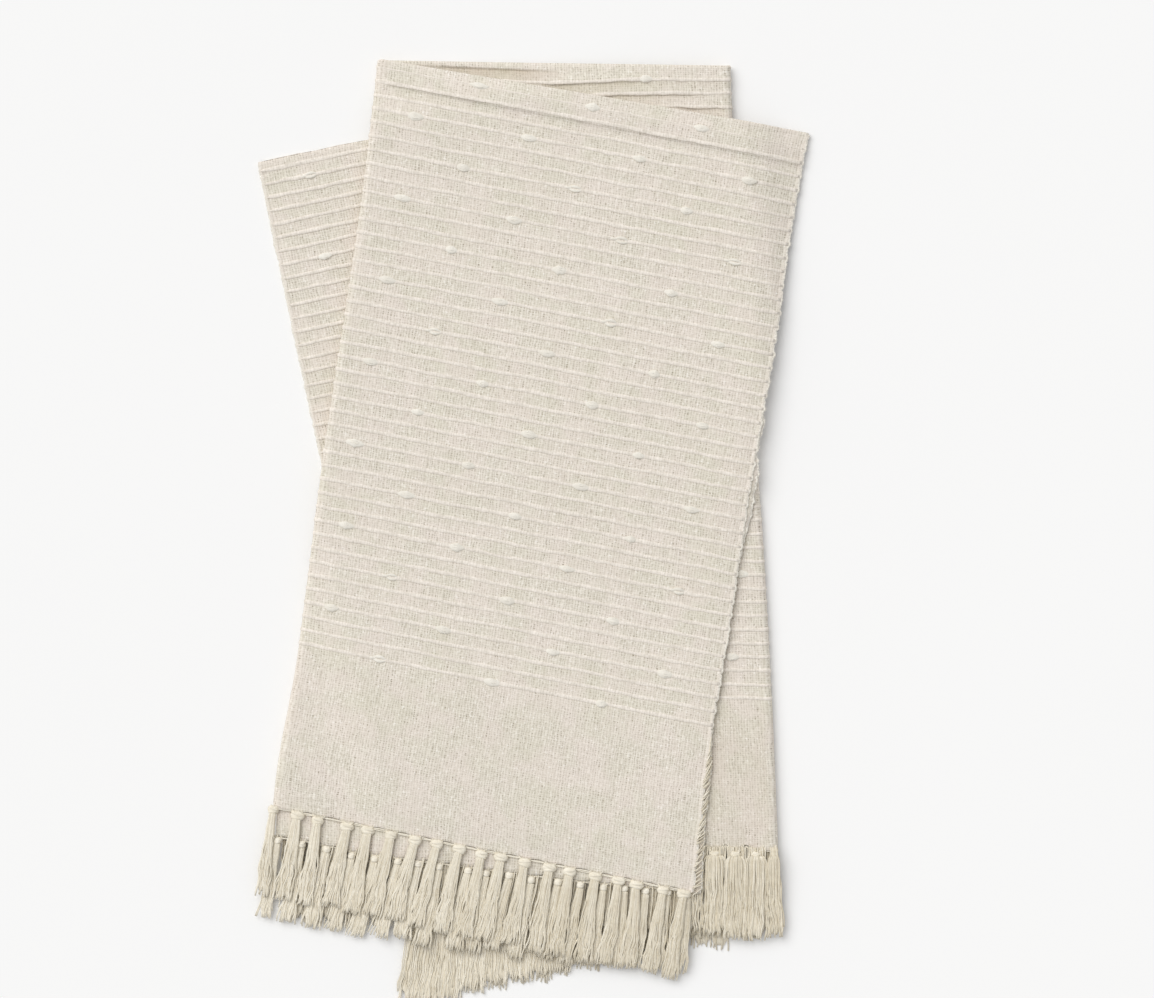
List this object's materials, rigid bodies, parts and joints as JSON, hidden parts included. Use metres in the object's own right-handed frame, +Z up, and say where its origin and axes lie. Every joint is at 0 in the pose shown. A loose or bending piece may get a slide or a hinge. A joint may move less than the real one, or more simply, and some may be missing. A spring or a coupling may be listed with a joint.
{
  "type": "folded throw blanket",
  "caption": "Woven cotton throw with raised ribs, slub nubs and knotted tassel fringe, folded in half and fanned in three panels, lying flat.",
  "frame": {"origin": "centre of the folded throw in plan, on the surface it lies on", "axes": "+Z up, square to the surface; +Y from the fringed ends towards the half fold; +X to the right, seen from above with the half fold away"},
  "size_m": [0.5476, 0.9345, 0.0261],
  "materials": {
    "weave": "matt ecru cotton, open plain weave with lighter raised ribs",
    "fringe_yarn": "matt ecru cotton yarn, loosely twisted"
  },
  "bodies": {
    "root": {"throw": "weave", "fringe_top_front": "fringe_yarn", "fringe_top_back": "fringe_yarn", "fringe_middle_back": "fringe_yarn", "fringe_middle_front": "fringe_yarn", "fringe_bottom_front": "fringe_yarn", "fringe_bottom_back": "fringe_yarn"}
  },
  "joints": []
}
